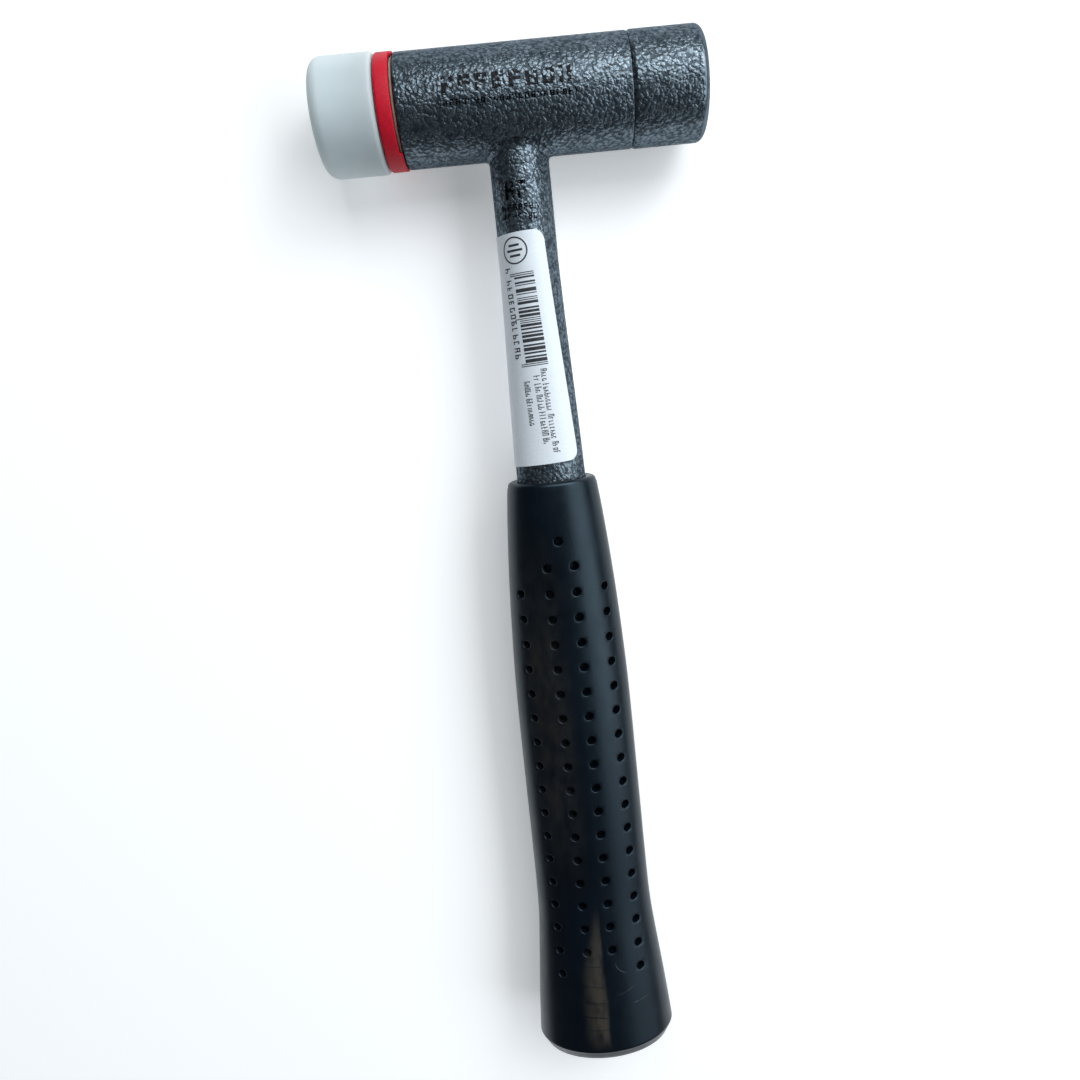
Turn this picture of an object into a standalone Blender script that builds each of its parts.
"""Recoilless soft-face hammer.

A painted steel head tube is part filled with shot. It has a pressed-in steel strike face at one end and a
renewable nylon face behind a red ring at the other. A tubular handle is welded to it, flattened to an oval
and pushed into a perforated PVC grip.

It lies on its side. X runs along the head, from the nylon face to the steel face, and the handle runs
towards -Y. The floor is z = 0, and the origin is under the middle of the bounding box.
"""

from math import cos, pi, radians, sin, sqrt

import bmesh
import bpy
from mathutils import Vector

MM = 0.001

# Overall sizes
OVERALL_LENGTH = 310.0 * MM
FACE_RADIUS = 15.7 * MM  # the nylon face is the thickest part of the head
FACE_REACH = 53.6 * MM  # from the handle's axis to the end of the nylon
CAP_REACH = 52.2 * MM  # from the handle's axis to the end of the steel face
HANDLE_X = (FACE_REACH - CAP_REACH) / 2
HEAD_Y = OVERALL_LENGTH / 2 - FACE_RADIUS
GRIP_END = OVERALL_LENGTH - FACE_RADIUS  # distance from the head's axis to the end of the grip

# Fits
TOUCH = 0.15 * MM  # half the gap between two pieces that touch
SLIDE_FIT = 0.2 * MM
ROUND_STEPS = 40

# Head
TUBE_RADIUS = 15.0 * MM
BORE_RADIUS = 12.4 * MM
TUBE_LEFT = -31.05 * MM
TUBE_RIGHT = 31.9 * MM
TUBE_EASE = 0.7 * MM
GROOVE_CHAMFER = 0.9 * MM
CAP_RADIUS = 15.1 * MM
CAP_CORNER = 2.1 * MM
CAP_SPIGOT = 9.0 * MM
SPIGOT_RADIUS = BORE_RADIUS - SLIDE_FIT
SPIGOT_LEAD = 0.8 * MM

# Nylon face, red ring and what lies under them
RING_LEFT = -36.05 * MM
RING_RIGHT = -31.85 * MM
RING_BORE = 12.7 * MM
RING_RADIUS = 15.3 * MM
RING_CHAMFER = 0.45 * MM
LUG_INNER = 14.3 * MM
LUG_HALF_WIDTH = 8.0 * MM
WASHER_RADIUS = 14.05 * MM
FACE_CORNER = 3.4 * MM
FACE_BACK_EASE = 1.2 * MM
FACE_SPIGOT_END = -17.0 * MM
SNAP_GROOVE_X = -24.0 * MM
SNAP_GROOVE_DEPTH = 1.3 * MM
SNAP_GROOVE_WIDTH = 2.4 * MM

# Shot chamber
DISC_LEFT = -16.4 * MM
DISC_THICKNESS = 2.6 * MM
CHAMBER_LEFT = DISC_LEFT + DISC_THICKNESS
CHAMBER_RIGHT = TUBE_RIGHT - CAP_SPIGOT
SHOT_TRAVEL = 3.0 * MM  # each way from the middle of the chamber
SHOT_LEVEL = 1.6 * MM  # top of the shot above the head's axis
SHOT_GAP = 0.4 * MM

# Handle tube
HANDLE_RADIUS = 8.35 * MM
HANDLE_WALL = 1.4 * MM
HANDLE_END = 276.0 * MM
OVAL_START = 44.0 * MM
OVAL_END = 106.0 * MM
OVAL_HALF_WIDTH = 10.2 * MM
OVAL_HALF_DEPTH = 6.4 * MM
WELD_RADIUS = 1.7 * MM
PLUG_DEPTH = 12.0 * MM
PLUG_FLANGE = 2.0 * MM

# Label
LABEL_TOP = 35.6 * MM
LABEL_LENGTH = 65.0 * MM
LABEL_WIDTH = 38.0 * MM
LABEL_EDGE = 6.3 * MM  # from the line along the handle's upper side to the label's edge, half way down
LABEL_SKEW = 0.05  # slope of the crookedly stuck label
LABEL_LIFT = 0.12 * MM
LABEL_THICKNESS = 0.2 * MM

# Grip: distance from the head's axis, half width and half depth of its oval
GRIP_STATIONS = (
    (105.9 * MM, 13.2 * MM, 9.6 * MM),
    (117.0 * MM, 14.4 * MM, 10.1 * MM),
    (134.4 * MM, 15.8 * MM, 10.5 * MM),
    (152.0 * MM, 16.8 * MM, 10.4 * MM),
    (172.0 * MM, 17.5 * MM, 10.2 * MM),
    (203.0 * MM, 17.75 * MM, 10.1 * MM),
    (234.0 * MM, 17.95 * MM, 10.3 * MM),
    (247.0 * MM, 18.3 * MM, 10.7 * MM),
    (260.0 * MM, 19.4 * MM, 11.6 * MM),
    (276.0 * MM, 20.9 * MM, 12.9 * MM),
    (290.0 * MM, 22.0 * MM, 14.2 * MM),
)
GRIP_RIM = GRIP_STATIONS[0][0]
GRIP_RIM_ROUND = 1.4 * MM
GRIP_CORNER = 4.0 * MM
GRIP_DOME = 1.0 * MM
GRIP_POCKET_END = HANDLE_END + PLUG_FLANGE + 2 * TOUCH
GRIP_FIT = 0.2 * MM


def clear_scene():
    for obj in list(bpy.data.objects):
        bpy.data.objects.remove(obj, do_unlink=True)


def collection(name):
    made = bpy.data.collections.new(name)
    bpy.context.scene.collection.children.link(made)
    return made


def material(name, colour, roughness, metallic):
    made = bpy.data.materials.new(name)
    made.use_nodes = True
    shader = made.node_tree.nodes["Principled BSDF"]
    shader.inputs["Base Color"].default_value = (*colour, 1.0)
    shader.inputs["Roughness"].default_value = roughness
    shader.inputs["Metallic"].default_value = metallic
    return made


def axis_empty(name, turn):
    """An empty where the handle's and the head's axes meet, turned so that its own Z is the working axis."""
    made = bpy.data.objects.new(name, None)
    made.location = (HANDLE_X, HEAD_Y, FACE_RADIUS)
    made.rotation_euler = turn
    parts.objects.link(made)
    return made


def add_object(name, mesh, finish, parent, home=None):
    made = bpy.data.objects.new(name, mesh)
    (home or parts).objects.link(made)
    made.parent = parent
    if finish:
        mesh.materials.append(finish)
    return made


def mesh_from(name, bm):
    bmesh.ops.recalc_face_normals(bm, faces=bm.faces[:])
    mesh = bpy.data.meshes.new(name)
    bm.to_mesh(mesh)
    bm.free()
    mesh.shade_smooth()
    mesh.set_sharp_from_angle(angle=radians(35))
    return mesh


def arc(centre, radius, start, end, count=5):
    """Points (radius, height) on an arc of a turned profile, with the angles in degrees."""
    turns = [radians(start + (end - start) * i / count) for i in range(count + 1)]
    return [(centre[0] + radius * cos(t), centre[1] + radius * sin(t)) for t in turns]


def turned(name, profile, finish, closed, home=None):
    """A profile of (radius, distance along the head), from the +X end, spun round the head's axis."""
    bm = bmesh.new()
    points = [bm.verts.new((radius, 0.0, along)) for radius, along in profile]
    for first, second in zip(points, points[1:]):
        bm.edges.new((first, second))
    if closed:
        bm.edges.new((points[-1], points[0]))
    mesh = bpy.data.meshes.new(name)
    bm.to_mesh(mesh)
    bm.free()
    made = add_object(name, mesh, finish, head_axis, home)
    screw = made.modifiers.new("turn", "SCREW")
    screw.steps = ROUND_STEPS
    screw.render_steps = ROUND_STEPS
    screw.use_merge_vertices = True
    screw.merge_threshold = 0.00001
    screw.use_smooth_shade = True
    return made


def hide_as_cutter(obj):
    obj.hide_render = True
    obj.display_type = "WIRE"
    return obj


def cut(obj, cutter):
    boolean = obj.modifiers.new("cut_" + cutter.name, "BOOLEAN")
    boolean.operation = "DIFFERENCE"
    boolean.object = cutter


def cutter_rod(name, radius, left, right):
    rod = turned(name, [(0, right), (radius, right), (radius, left), (0, left)], None, False, cutters)
    return hide_as_cutter(rod)


def eased(t):
    return t * t * (3 - 2 * t)


def handle_half_sizes(distance):
    """Half width and half depth of the handle tube: round at the head, an oval above the grip."""
    t = min(max((distance - OVAL_START) / (OVAL_END - OVAL_START), 0.0), 1.0)
    share = eased(t) * 0.35 + t * 0.65
    width = HANDLE_RADIUS + (OVAL_HALF_WIDTH - HANDLE_RADIUS) * share
    depth = HANDLE_RADIUS + (OVAL_HALF_DEPTH - HANDLE_RADIUS) * share
    return width, depth


def grip_half_sizes(distance):
    """Half width and half depth of the grip, on a smooth curve through its stations."""
    last = len(GRIP_STATIONS) - 1
    i = 0
    while i < last - 1 and distance > GRIP_STATIONS[i + 1][0]:
        i += 1
    before, here = GRIP_STATIONS[max(i - 1, 0)], GRIP_STATIONS[i]
    there, after = GRIP_STATIONS[i + 1], GRIP_STATIONS[min(i + 2, last)]
    span = there[0] - here[0]
    t = (distance - here[0]) / span
    sizes = []
    for k in (1, 2):
        leave = (there[k] - before[k]) / (there[0] - before[0]) * span
        arrive = (after[k] - here[k]) / (after[0] - here[0]) * span
        rise = there[k] - here[k]
        bend = t * t * (3 * rise - 2 * leave - arrive) + t**3 * (leave + arrive - 2 * rise)
        sizes.append(here[k] + t * leave + bend)
    return sizes


def place_ring(verts, width, depth, distance):
    for i, vert in enumerate(verts):
        turn = 2 * pi * i / len(verts)
        vert.co = Vector((width * cos(turn), depth * sin(turn), distance))


def loft(name, rings):
    """A closed, capped surface through oval rings (half width, half depth, distance)."""
    bm = bmesh.new()
    ring = bmesh.ops.create_circle(bm, segments=ROUND_STEPS, radius=1.0)["verts"]
    place_ring(ring, *rings[0])
    first = ring[:]
    for sizes in rings[1:]:
        edges = [bm.edges.get((a, b)) for a, b in zip(ring, ring[1:] + ring[:1])]
        made = bmesh.ops.extrude_edge_only(bm, edges=edges)["geom"]
        fresh = {v for v in made if isinstance(v, bmesh.types.BMVert)}
        ring = [next(e.other_vert(v) for e in v.link_edges if e.other_vert(v) in fresh) for v in ring]
        place_ring(ring, *sizes)
    bm.faces.new(first)
    bm.faces.new(ring)
    return mesh_from(name, bm)


def make_head_tube(paint):
    left, right = TUBE_LEFT + TOUCH, TUBE_RIGHT - TOUCH
    turned(
        "head_tube",
        [
            (TUBE_RADIUS - GROOVE_CHAMFER, right),
            (TUBE_RADIUS, right - GROOVE_CHAMFER),
            *arc((TUBE_RADIUS - TUBE_EASE, left + TUBE_EASE), TUBE_EASE, 0, -90, 3),
            (BORE_RADIUS, left),
            (BORE_RADIUS, right),
        ],
        paint,
        True,
    )


def make_strike_cap(paint):
    shoulder, end = TUBE_RIGHT + TOUCH, CAP_REACH
    turned(
        "strike_cap",
        [
            (0, end),
            *arc((CAP_RADIUS - CAP_CORNER, end - CAP_CORNER), CAP_CORNER, 90, 0),
            (CAP_RADIUS, shoulder + GROOVE_CHAMFER),
            (CAP_RADIUS - GROOVE_CHAMFER, shoulder),
            (SPIGOT_RADIUS, shoulder),
            (SPIGOT_RADIUS, TUBE_RIGHT - CAP_SPIGOT + SPIGOT_LEAD),
            (SPIGOT_RADIUS - SPIGOT_LEAD, TUBE_RIGHT - CAP_SPIGOT),
            (0, TUBE_RIGHT - CAP_SPIGOT),
        ],
        paint,
        False,
    )


def make_nylon_face(nylon):
    """The striking face, with a stepped spigot that passes the ring and plugs the tube."""
    groove_floor = SPIGOT_RADIUS - SNAP_GROOVE_DEPTH
    groove_right = SNAP_GROOVE_X + SNAP_GROOVE_WIDTH / 2
    groove_left = SNAP_GROOVE_X - SNAP_GROOVE_WIDTH / 2
    seat = RING_LEFT - TOUCH
    turned(
        "nylon_face",
        [
            (0, FACE_SPIGOT_END),
            (SPIGOT_RADIUS - SPIGOT_LEAD, FACE_SPIGOT_END),
            (SPIGOT_RADIUS, FACE_SPIGOT_END - SPIGOT_LEAD),
            (SPIGOT_RADIUS, groove_right),
            (groove_floor, groove_right),
            (groove_floor, groove_left),
            (SPIGOT_RADIUS, groove_left),
            (SPIGOT_RADIUS, seat),
            *arc((FACE_RADIUS - FACE_BACK_EASE, seat - FACE_BACK_EASE), FACE_BACK_EASE, 90, 0, 3),
            *arc((FACE_RADIUS - FACE_CORNER, FACE_CORNER - FACE_REACH), FACE_CORNER, 0, -90, 7),
            (0, -FACE_REACH),
        ],
        nylon,
        False,
    )


def make_snap_ring(rubber):
    """A rubber ring in the spigot's groove, which grips the tube's bore and holds the face in."""
    groove_floor = SPIGOT_RADIUS - SNAP_GROOVE_DEPTH
    inner, outer = groove_floor + SLIDE_FIT, BORE_RADIUS - SLIDE_FIT / 2
    round_radius = (outer - inner) / 2
    middle = (inner + round_radius, SNAP_GROOVE_X)
    turned("snap_ring", arc(middle, round_radius, 90, -270, 10)[:-1], rubber, True)


def make_face_ring(red):
    """A chamfered ring whose rim runs on to the tube in two lugs, with a window between them on each side."""
    left, right, tips = RING_LEFT + TOUCH, RING_RIGHT, TUBE_LEFT - TOUCH / 2
    ring = turned(
        "face_ring",
        [
            (LUG_INNER, tips),
            (RING_RADIUS - RING_CHAMFER, tips),
            (RING_RADIUS, tips - RING_CHAMFER),
            (RING_RADIUS, left + RING_CHAMFER),
            (RING_RADIUS - RING_CHAMFER, left),
            (RING_BORE, left),
            (RING_BORE, right),
            (LUG_INNER, right),
        ],
        red,
        True,
    )
    for side in (-1, 1):
        bm = bmesh.new()
        bmesh.ops.create_cube(bm, size=1.0)
        bmesh.ops.scale(bm, vec=(20 * MM, 60 * MM, 4 * MM), verts=bm.verts[:])
        shift = Vector((side * (LUG_HALF_WIDTH + 10 * MM), 0, right + 2 * MM))
        bmesh.ops.translate(bm, vec=shift, verts=bm.verts[:])
        name = "window_cutter_back" if side > 0 else "window_cutter_front"
        cutter = add_object(name, mesh_from(name, bm), None, head_axis, cutters)
        cut(ring, hide_as_cutter(cutter))


def make_fibre_washer(fibre):
    left, right = RING_RIGHT + TOUCH, TUBE_LEFT - TOUCH / 2
    turned(
        "fibre_washer",
        [(WASHER_RADIUS, right), (WASHER_RADIUS, left), (RING_BORE, left), (RING_BORE, right)],
        fibre,
        True,
    )


def make_chamber_disc(steel):
    left, right = DISC_LEFT, CHAMBER_LEFT
    turned(
        "chamber_disc",
        [(0, right), (SPIGOT_RADIUS, right), (SPIGOT_RADIUS, left), (0, left)],
        steel,
        False,
    )


def make_shot_charge(steel):
    """The shot as one slug with a level top, as it lies in the chamber and as heavy as loose shot."""
    left = CHAMBER_LEFT + SHOT_TRAVEL + SHOT_GAP
    right = CHAMBER_RIGHT - SHOT_TRAVEL - SHOT_GAP
    bm = bmesh.new()
    made = bmesh.ops.create_cone(
        bm,
        cap_ends=True,
        segments=ROUND_STEPS,
        radius1=BORE_RADIUS - SHOT_GAP,
        radius2=BORE_RADIUS - SHOT_GAP,
        depth=right - left,
    )
    bmesh.ops.translate(bm, vec=(0, 0, (left + right) / 2), verts=made["verts"])
    # The head's axis empty has its own X pointing down.
    level = bmesh.ops.bisect_plane(
        bm,
        geom=bm.verts[:] + bm.edges[:] + bm.faces[:],
        plane_co=(-SHOT_LEVEL, 0, 0),
        plane_no=(-1, 0, 0),
        clear_outer=True,
    )
    rim = [e for e in level["geom_cut"] if isinstance(e, bmesh.types.BMEdge)]
    bmesh.ops.contextual_create(bm, geom=rim)
    add_object("shot_charge", mesh_from("shot_charge", bm), steel, head_axis)


def handle_rings(inset, distances):
    rings = []
    for distance in distances:
        width, depth = handle_half_sizes(distance)
        rings.append((width - inset, depth - inset, distance))
    return rings


def make_handle_tube(paint):
    """A tube coped to sit on the head, open at its lower end."""
    top = 5 * MM
    count = 8
    stations = [OVAL_START + (OVAL_END - OVAL_START) * i / count for i in range(count + 1)]
    outside = loft("handle_tube", handle_rings(0.0, [top, *stations, HANDLE_END]))
    inside = loft("handle_hollow", handle_rings(HANDLE_WALL, [top - MM, *stations, HANDLE_END + MM]))
    tube = add_object("handle_tube", outside, paint, handle_axis)
    hollow = hide_as_cutter(add_object("handle_hollow", inside, None, handle_axis, cutters))
    cut(tube, hollow)
    cut(tube, cutter_rod("head_clearance", TUBE_RADIUS + 2 * TOUCH, -20 * MM, 20 * MM))


def make_weld_bead(paint):
    """A bead along the line where the tube meets the head, cut back where it would enter either."""
    points = 48
    curve = bpy.data.curves.new("weld_path", "CURVE")
    curve.dimensions = "3D"
    curve.bevel_depth = WELD_RADIUS
    curve.bevel_resolution = 2
    spline = curve.splines.new("POLY")
    spline.points.add(points - 1)
    spline.use_cyclic_u = True
    reach = HANDLE_RADIUS + 0.1 * MM
    for i, point in enumerate(spline.points):
        turn = 2 * pi * i / points
        side, height = reach * cos(turn), reach * sin(turn)
        point.co = (side, height, sqrt((TUBE_RADIUS + 0.1 * MM) ** 2 - height**2), 1.0)
    path = add_object("weld_path", curve, None, handle_axis)
    graph = bpy.context.evaluated_depsgraph_get()
    mesh = bpy.data.meshes.new_from_object(path.evaluated_get(graph))
    bpy.data.objects.remove(path)
    mesh.name = "weld_bead"
    bead = add_object("weld_bead", mesh, paint, handle_axis)
    cut(bead, cutter_rod("head_under_weld", TUBE_RADIUS + TOUCH, -20 * MM, 20 * MM))
    sleeve = loft("handle_under_weld", [(HANDLE_RADIUS + TOUCH,) * 2 + (d,) for d in (2 * MM, 26 * MM)])
    cut(bead, hide_as_cutter(add_object("handle_under_weld", sleeve, None, handle_axis, cutters)))


def make_handle_plug(plastic):
    """A stopper in the tube's lower end, whose flange keeps the tube's edge off the grip."""
    width, depth = handle_half_sizes(HANDLE_END)
    inset = HANDLE_WALL + SLIDE_FIT
    flange = HANDLE_END + TOUCH
    rings = [
        (width - inset - 0.6 * MM, depth - inset - 0.6 * MM, HANDLE_END - PLUG_DEPTH),
        (width - inset, depth - inset, HANDLE_END - PLUG_DEPTH + 1.5 * MM),
        (width - inset, depth - inset, flange),
        (width, depth, flange),
        (width, depth, flange + PLUG_FLANGE),
    ]
    add_object("handle_plug", loft("handle_plug", rings), plastic, handle_axis)


def make_label(paper):
    """A sticker wrapped round the handle: a strip of the tube's surface, lifted off it and thickened."""
    bm = bmesh.new()
    made = bmesh.ops.create_grid(bm, x_segments=20, y_segments=9, size=0.5)
    for vert in made["verts"]:
        along = LABEL_LENGTH * vert.co.y
        across = LABEL_EDGE - LABEL_WIDTH * (0.5 - vert.co.x)
        distance = LABEL_TOP + LABEL_LENGTH / 2 + along - LABEL_SKEW * across
        turn = pi / 2 - (across + LABEL_SKEW * along) / HANDLE_RADIUS
        width, depth = handle_half_sizes(distance)
        vert.co = Vector(((width + LABEL_LIFT) * cos(turn), (depth + LABEL_LIFT) * sin(turn), distance))
    for face in bm.faces:
        face.normal_update()
        middle = face.calc_center_median()
        if face.normal.x * middle.x + face.normal.y * middle.y < 0:
            face.normal_flip()
    mesh = bpy.data.meshes.new("label")
    bm.to_mesh(mesh)
    bm.free()
    mesh.shade_smooth()
    label = add_object("label", mesh, paper, handle_axis)
    solid = label.modifiers.new("thickness", "SOLIDIFY")
    solid.thickness = LABEL_THICKNESS
    solid.offset = 1.0


def make_grip(pvc):
    """A thick sleeve with a pocket for the tube, a rounded rim, a flared end and a domed butt."""
    pocket = [size + GRIP_FIT for size in handle_half_sizes(HANDLE_END)]
    rim_width, rim_depth = grip_half_sizes(GRIP_RIM)
    rings = [(*pocket, GRIP_POCKET_END), (*pocket, GRIP_RIM)]
    for step in range(5):
        turn = radians(90 - 90 * step / 4)
        pull = GRIP_RIM_ROUND * (1 - cos(turn))
        rings.append((rim_width - pull, rim_depth - pull, GRIP_RIM + GRIP_RIM_ROUND * (1 - sin(turn))))
    corner_start = GRIP_END - GRIP_DOME - GRIP_CORNER
    stations = 20
    start = GRIP_RIM + GRIP_RIM_ROUND
    for step in range(1, stations + 1):
        distance = start + (corner_start - start) * step / stations
        rings.append((*grip_half_sizes(distance), distance))
    width, depth = grip_half_sizes(corner_start)
    for step in range(1, 6):
        turn = radians(80 * step / 5)
        pull = GRIP_CORNER * (1 - cos(turn))
        rings.append((width - pull, depth - pull, corner_start + GRIP_CORNER * sin(turn)))
    edge_width, edge_depth, edge = rings[-1]
    for share in (0.8, 0.55, 0.3, 0.1):
        rise = (GRIP_END - edge) * (1 - share**2)
        rings.append((edge_width * share, edge_depth * share, edge + rise))
    add_object("grip", loft("grip", rings), pvc, handle_axis)


clear_scene()
parts = collection("soft_face_hammer")
cutters = collection("cutters")
head_axis = axis_empty("head_axis", (0, pi / 2, 0))
handle_axis = axis_empty("handle_axis", (pi / 2, 0, 0))

hammertone = material("hammertone_paint", (0.13, 0.16, 0.19), 0.35, 0.55)
face_nylon = material("face_nylon", (0.62, 0.70, 0.72), 0.45, 0.0)
red_plastic = material("red_plastic", (0.55, 0.01, 0.03), 0.4, 0.0)
grip_pvc = material("grip_pvc", (0.012, 0.015, 0.02), 0.5, 0.0)
label_paper = material("label_paper", (0.82, 0.86, 0.9), 0.5, 0.0)
vulcanised_fibre = material("vulcanised_fibre", (0.26, 0.18, 0.13), 0.7, 0.0)
bare_steel = material("bare_steel", (0.45, 0.46, 0.47), 0.4, 1.0)
black_rubber = material("black_rubber", (0.02, 0.02, 0.02), 0.6, 0.0)

make_head_tube(hammertone)
make_strike_cap(hammertone)
make_nylon_face(face_nylon)
make_snap_ring(black_rubber)
make_face_ring(red_plastic)
make_fibre_washer(vulcanised_fibre)
make_chamber_disc(bare_steel)
make_shot_charge(bare_steel)
make_handle_tube(hammertone)
make_weld_bead(hammertone)
make_handle_plug(black_rubber)
make_label(label_paper)
make_grip(grip_pvc)
